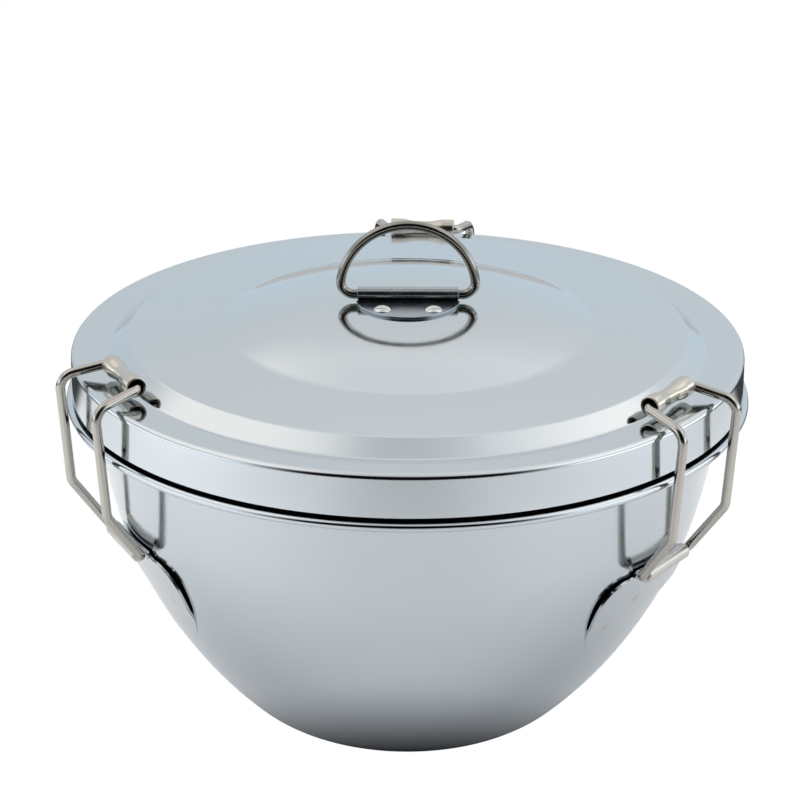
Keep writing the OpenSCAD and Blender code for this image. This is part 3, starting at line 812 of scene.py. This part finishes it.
# %% Ring
RING_R, RING_UP, RING_CORNER_R = 20.6, 1.5, 4.0
CORNER_STEPS, ARCH_STEPS = 20, 72
RING_MERGE_DIST = 1e-3
TOWARDS_FRONT = (0, -1, 0)
corner_x = math.sqrt((RING_R - RING_CORNER_R) ** 2 - (RING_CORNER_R - RING_UP) ** 2)
arch_start = math.atan2(RING_CORNER_R - RING_UP, corner_x)
corner_turn = math.pi / 2 + arch_start
bm = bmesh.new()
facing = Matrix.Translation((0, 0, handle_z)) @ Matrix.Rotation(math.pi / 2, 4, "Y")
bmesh.ops.create_circle(bm, cap_ends=False, segments=WIRE_SIDES, radius=WIRE_R, matrix=facing)
ring = feed(bm, bm.edges[:], (corner_x, 0, 0))
for x, z, turn, steps in ((corner_x, RING_CORNER_R, corner_turn, CORNER_STEPS),
                          (0, RING_UP, math.pi - 2 * arch_start, ARCH_STEPS),
                          (-corner_x, RING_CORNER_R, corner_turn, CORNER_STEPS)):
    ring = turn_ring(bm, ring, (x, 0, handle_z + z), TOWARDS_FRONT, turn, steps)
feed(bm, ring, (corner_x, 0, 0))
bmesh.ops.remove_doubles(bm, verts=bm.verts[:], dist=RING_MERGE_DIST)
bmesh.ops.recalc_face_normals(bm, faces=bm.faces[:])
# The ring takes the wire steel painted darker: painted shade.
finish_piece(bm, "handle_ring_bent", "handle", shaded_ring_steel, ["handle_ring"])

# %% [markdown]
# ## The studio table
# Polished steel has no look of its own: it shows the room. The bowl and the skirt show the white table
# that they stand on, but the photograph is cut out on pure white. The table could be left out, but then
# the steel would show the sky from below. So the table is a wide plane of white paper that is kept from
# the camera alone, and its shades are painted on it in metres.

# %% Table
TABLE_HALF_W = 60.0
bm = bmesh.new()
bmesh.ops.create_grid(bm, x_segments=1, y_segments=1, size=TABLE_HALF_W)
mesh = bpy.data.meshes.new("table")
bm.to_mesh(mesh)
bm.free()
table = bpy.data.objects.new("table", mesh)
scene.collection.objects.link(table)
table.visible_camera = False
print("table", 2 * TABLE_HALF_W, "m wide")

# %% Matt white paper
# Matt paper scatters its light, so the steel above it shows one even white wherever no shade lies.
PAPER_TONE, SHADOW_TONE, PAPER_HAZE = "#eeeff0", "#000000", 0.9
SHADOW_OVAL = (1.4, 1.0, 1.0)
paper = bpy.data.materials.new("White paper, matt")
paper.use_nodes = True
mesh.materials.append(paper)
tree = paper.node_tree
paper_shader = tree.nodes["Principled BSDF"]
paper_shader.inputs["Roughness"].default_value = PAPER_HAZE
spot = add_node(tree, "ShaderNodeTexCoord").outputs["Object"]
flat = add_node(tree, "ShaderNodeSeparateXYZ", {"Vector": spot})
wide = add_node(tree, "ShaderNodeMath", {0: flat.outputs["X"]}, operation="ABSOLUTE")
oval = add_node(tree, "ShaderNodeVectorMath", {0: spot, 1: SHADOW_OVAL}, operation="MULTIPLY")
near = add_node(tree, "ShaderNodeVectorMath", {0: oval.outputs["Vector"]}, operation="LENGTH")
far = add_node(tree, "ShaderNodeVectorMath", {0: spot}, operation="LENGTH")
# Each shade: what it follows, the metres where it starts and ends, and its light at these two places.
shades = {
    "bowl's shadow": (near.outputs["Value"], 0.03, 0.09, 0.1, 0.9),
    # A painted dark strip across the paper behind the bowl, between the next two shades.
    "painted dark strip, near side": (flat.outputs["Y"], 0.20, 0.235, 1.0, 0.02),
    "painted dark strip, far side": (flat.outputs["Y"], 0.38, 0.55, 0.0, 1.0),
    "camera's shade": (wide.outputs["Value"], 0.03, 0.2, 0.82, 1.0),
    "fall with distance": (far.outputs["Value"], 0.24, 0.38, 1.0, 0.84),
}
light = {}
for name, (follows, start, end, first, last) in shades.items():
    soft = add_node(tree, "ShaderNodeMapRange", {"Value": follows, "From Min": start, "From Max": end,
                                                 "To Min": first, "To Max": last},
                    interpolation_type="SMOOTHSTEP")
    light[name] = soft.outputs["Result"]
# The painted dark strip: dark from its near side on, and light again past its far side.
painted_dark_strip = add_node(tree, "ShaderNodeMath", {0: light["painted dark strip, near side"], 1: light["painted dark strip, far side"]},
                      operation="MAXIMUM")
shade = light["bowl's shadow"]
for other in (painted_dark_strip.outputs["Value"], light["camera's shade"], light["fall with distance"]):
    shade = add_node(tree, "ShaderNodeMath", {0: shade, 1: other}, operation="MULTIPLY").outputs["Value"]
tone = add_node(tree, "ShaderNodeMix", {"Factor": shade, "A": srgb(SHADOW_TONE), "B": srgb(PAPER_TONE)},
                data_type="RGBA")
tree.links.new(tone.outputs["Result"], paper_shader.inputs["Base Color"])
print("paper with shades:", ", ".join(shades))

# %% [markdown]
# ## The studio tent
# The photograph's steel shows a white tent, with lamps behind its sides, a soft box over each side and a
# dark opening where the camera looks in. Panels and lamps could be modelled one by one, but the steel
# only shows from which way light comes. So the world gives it all, by the direction of a ray: X is
# sideways, Z is up, and each soft edge runs between two such values.

# %% World
ELEVATION = math.radians(22.2)
TENT_TONES = ((0.0, "#ffffff"), (0.006, "#d4e4f0"), (0.25, "#e0e9ee"), (0.40, "#e7ebed"),
              (0.55, "#f2f2f2"), (0.70, "#fffefc"), (0.96, "#fafafa"), (1.0, "#dedddc"))
to_camera = Vector((0, -math.cos(ELEVATION), math.sin(ELEVATION)))
world = bpy.data.worlds.new("Studio tent")
scene.world = world
world.use_nodes = True
tree = world.node_tree
tree.nodes.clear()
ray = add_node(tree, "ShaderNodeTexCoord").outputs["Generated"]
split = add_node(tree, "ShaderNodeSeparateXYZ", {"Vector": ray})
sideways = add_node(tree, "ShaderNodeMath", {0: split.outputs["X"]}, operation="ABSOLUTE")
to_opening = add_node(tree, "ShaderNodeVectorMath", {0: ray, 1: to_camera}, operation="DOT_PRODUCT")
tent = add_node(tree, "ShaderNodeValToRGB", {"Fac": split.outputs["Z"]})
ramp = tent.color_ramp
(_, table_tone), *tones_between, (_, top_tone) = TENT_TONES
ramp.elements[0].color = srgb(table_tone)
ramp.elements[1].color = srgb(top_tone)
for height, colour in tones_between:
    ramp.elements.new(height).color = srgb(colour)
print("tent of", len(ramp.elements), "tones")

# %% Lit walls, soft boxes and the dark opening
# Lit cloth is brighter than white, which no hex colour can say, so its light is linear.
WALL_LIGHT, BOX_LIGHT = (1.75, 1.8, 1.85, 1.0), (1.36, 1.29, 1.22, 1.0)
OPENING_TONE = "#0c0d10"
TABLE_EDGE = -0.02
RIGHT_LAMP = 1.2
# Each soft edge: what it follows, where it starts and where it is full.
soft_edges = {
    "beside": (sideways.outputs["Value"], 0.72, 0.92),
    "low": (split.outputs["Z"], 0.34, 0.18),
    "above": (split.outputs["Z"], 0.5, 0.68),
    "left": (split.outputs["X"], -0.1, -0.5),
    "right": (split.outputs["X"], 0.22, 0.7),
    "opening": (to_opening.outputs["Value"], 0.56, 0.86),
}
mask = {}
for name, (follows, start, end) in soft_edges.items():
    soft = add_node(tree, "ShaderNodeMapRange", {"Value": follows, "From Min": start, "From Max": end},
                    interpolation_type="SMOOTHSTEP")
    mask[name] = soft.outputs["Result"]
# The opening ends at the table, so that the ground of a view from behind stays white.
over_table = add_node(tree, "ShaderNodeMapRange", {"Value": split.outputs["Z"], "From Min": TABLE_EDGE,
                                                   "From Max": 0.0})
aside = add_node(tree, "ShaderNodeMath", {0: mask["left"], 1: mask["right"]}, operation="MAXIMUM")
# The side walls are lit from behind up to about 15 degrees, and the opening covers what it meets. Only
# the lid's step and the wires are steep enough to show the soft boxes.
layers = ((mask["beside"], mask["low"], WALL_LIGHT),
          (mask["above"], aside.outputs["Value"], BOX_LIGHT),
          (mask["opening"], over_table.outputs["Result"], srgb(OPENING_TONE)))
seen = tent.outputs["Color"]
for one, other, glow in layers:
    within = add_node(tree, "ShaderNodeMath", {0: one, 1: other}, operation="MULTIPLY")
    laid = add_node(tree, "ShaderNodeMix", {"Factor": within.outputs["Value"], "A": seen, "B": glow},
                    data_type="RGBA")
    seen = laid.outputs["Result"]
# The lamp on the right is a little nearer.
nearer = add_node(tree, "ShaderNodeMapRange", {"Value": split.outputs["X"], "To Min": 1.0,
                                               "To Max": RIGHT_LAMP})
sky = add_node(tree, "ShaderNodeBackground", {"Color": seen, "Strength": nearer.outputs["Result"]})
add_node(tree, "ShaderNodeOutputWorld", {"Surface": sky.outputs["Background"]})
print("world of", len(tree.nodes), "nodes")

# %% [markdown]
# ## Lamps and camera
# Two area lights brighten the paper beside the bowl, as the tent's lamps do. The steel would show them
# as hard squares, so they are kept out of its reflections. The camera stands where the photographer's
# did, as far as the ellipses of the rim and the bead tell.

# %% Table lamps
LAMP_SIZE = 0.5


def table_lamp(name, place, aim, watts):
    """A square area light that brightens the table, out of sight of the mirrors."""
    data = bpy.data.lights.new(name, "AREA")
    data.size = LAMP_SIZE
    data.energy = watts
    lamp = bpy.data.objects.new(name, data)
    lamp.location = place
    lamp.rotation_euler = (Vector(aim) - Vector(place)).to_track_quat("-Z", "Y").to_euler()
    lamp.visible_glossy = False
    scene.collection.objects.link(lamp)
    print(name, watts, "W")


table_lamp("table lamp left", (-0.65, -0.12, 0.4), (-0.2, -0.05, 0), 4.2)
table_lamp("table lamp right", (0.65, -0.12, 0.4), (0.2, -0.05, 0), 2.9)

# %% Camera
TARGET = Vector((-0.0023, 0, 0.102))
DISTANCE, ROLL = 1.1, math.radians(0.25)
LENS_MM, SENSOR_MM = 161.1, 36
camera_data = bpy.data.cameras.new("camera")
camera_data.lens = LENS_MM
camera_data.sensor_width = SENSOR_MM
camera = bpy.data.objects.new("camera", camera_data)
camera.location = TARGET + DISTANCE * to_camera
aim = (TARGET - camera.location).to_track_quat("-Z", "Y").to_matrix()
camera.rotation_euler = (aim @ Matrix.Rotation(ROLL, 3, "Z")).to_euler()
scene.collection.objects.link(camera)
scene.camera = camera
scene.view_settings.view_transform = "Standard"
print("camera at", tuple(round(x, 3) for x in camera.location))
